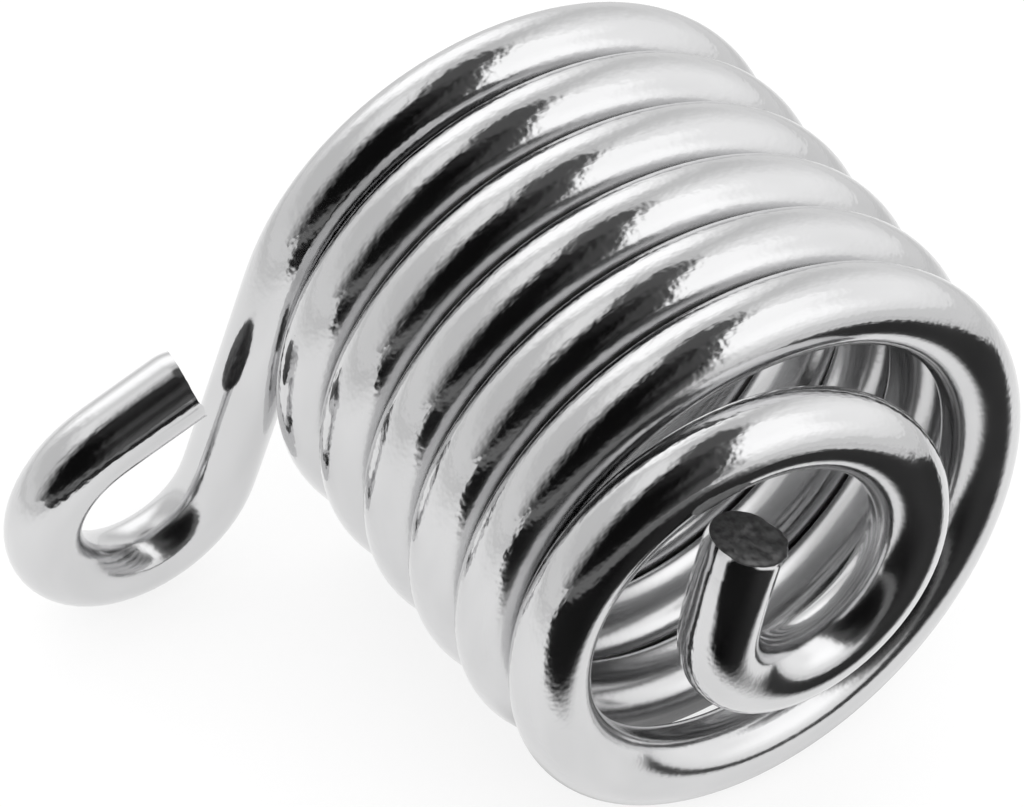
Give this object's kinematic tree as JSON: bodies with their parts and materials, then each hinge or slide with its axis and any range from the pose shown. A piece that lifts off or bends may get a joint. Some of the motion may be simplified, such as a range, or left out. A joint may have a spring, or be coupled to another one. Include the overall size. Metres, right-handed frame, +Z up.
{
  "type": "helical spring",
  "caption": "Close-wound helical spring of bright plated round wire, with an open hooked eye at one end and a spiral that winds inwards to a short straight tang at the other.",
  "frame": {"origin": "on the surface that the spring lies on, under the middle of its box", "axes": "+Z up; the coil's axis runs along Y, with the spiral end towards -Y and the hook at +Y, low on the -X side"},
  "size_m": [0.0336, 0.0252, 0.0237],
  "materials": {
    "plated_wire": "bright plated drawn wire"
  },
  "bodies": {
    "root": {"spring_wire": "plated_wire"}
  },
  "joints": []
}
